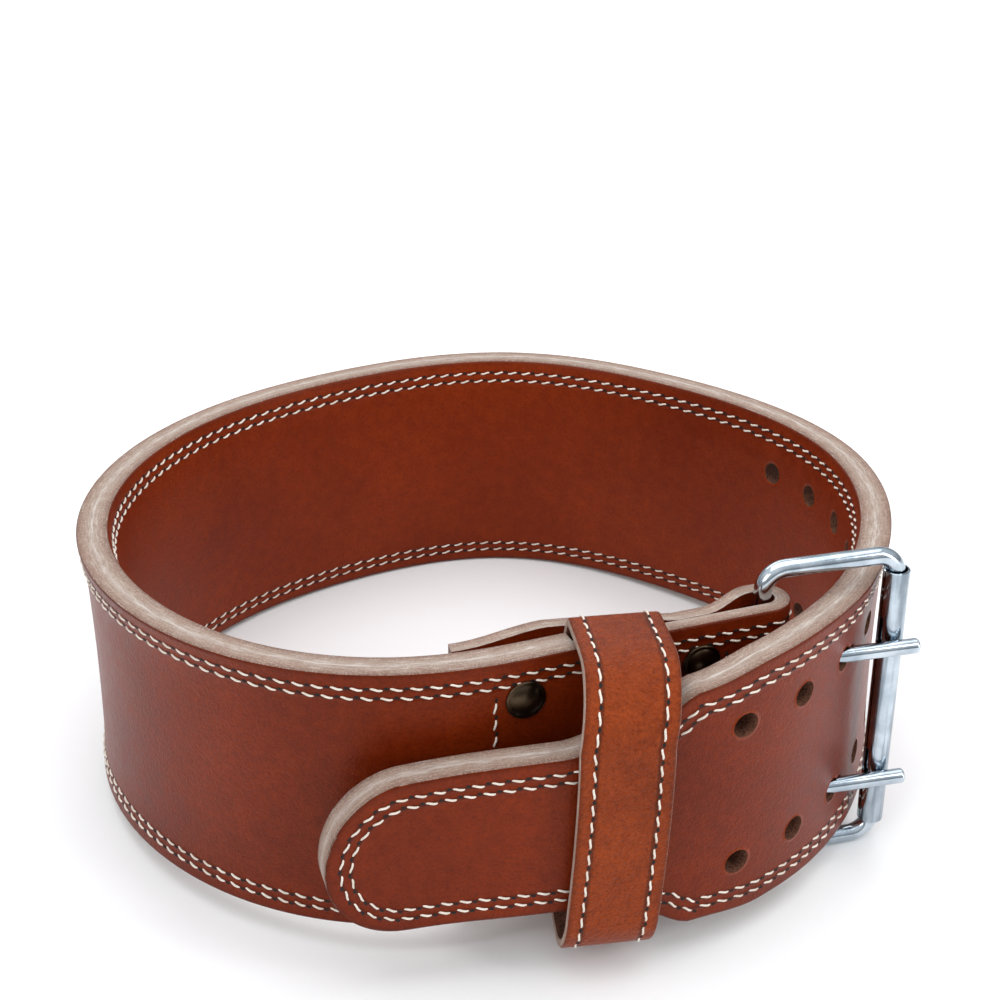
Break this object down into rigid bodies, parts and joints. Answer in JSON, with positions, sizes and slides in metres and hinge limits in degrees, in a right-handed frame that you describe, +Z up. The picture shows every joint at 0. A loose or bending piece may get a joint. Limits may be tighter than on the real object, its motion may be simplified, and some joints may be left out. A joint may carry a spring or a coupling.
{
  "type": "weightlifting belt",
  "caption": "Fastened leather weightlifting belt with a rounded tongue, a folded buckle end, a double-prong roller buckle, rivets and a keeper loop.",
  "frame": {"origin": "centre of the belt's bounding box at the surface it rests on", "axes": "+Z up from that surface, -Y towards the front with the tongue and keeper, +X towards the buckle's roller"},
  "size_m": [0.3046, 0.3034, 0.1233],
  "materials": {
    "outer_leather": "glossy",
    "inner_leather": "glossy",
    "keeper_leather": "glossy",
    "nickel": "polished nickel plate",
    "antique_nickel": "dark antique plate"
  },
  "bodies": {
    "root": {"outer_strap": "outer_leather", "inner_strap": "inner_leather", "keeper": "keeper_leather", "buckle_frame": "nickel", "buckle_roller": "nickel", "prong_upper": "nickel", "prong_lower": "nickel", "rivet_buckle_top": "antique_nickel", "rivet_buckle_middle": "antique_nickel", "rivet_buckle_bottom": "antique_nickel", "rivet_keeper_top": "antique_nickel", "rivet_keeper_middle": "antique_nickel", "rivet_keeper_bottom": "antique_nickel"}
  },
  "joints": []
}
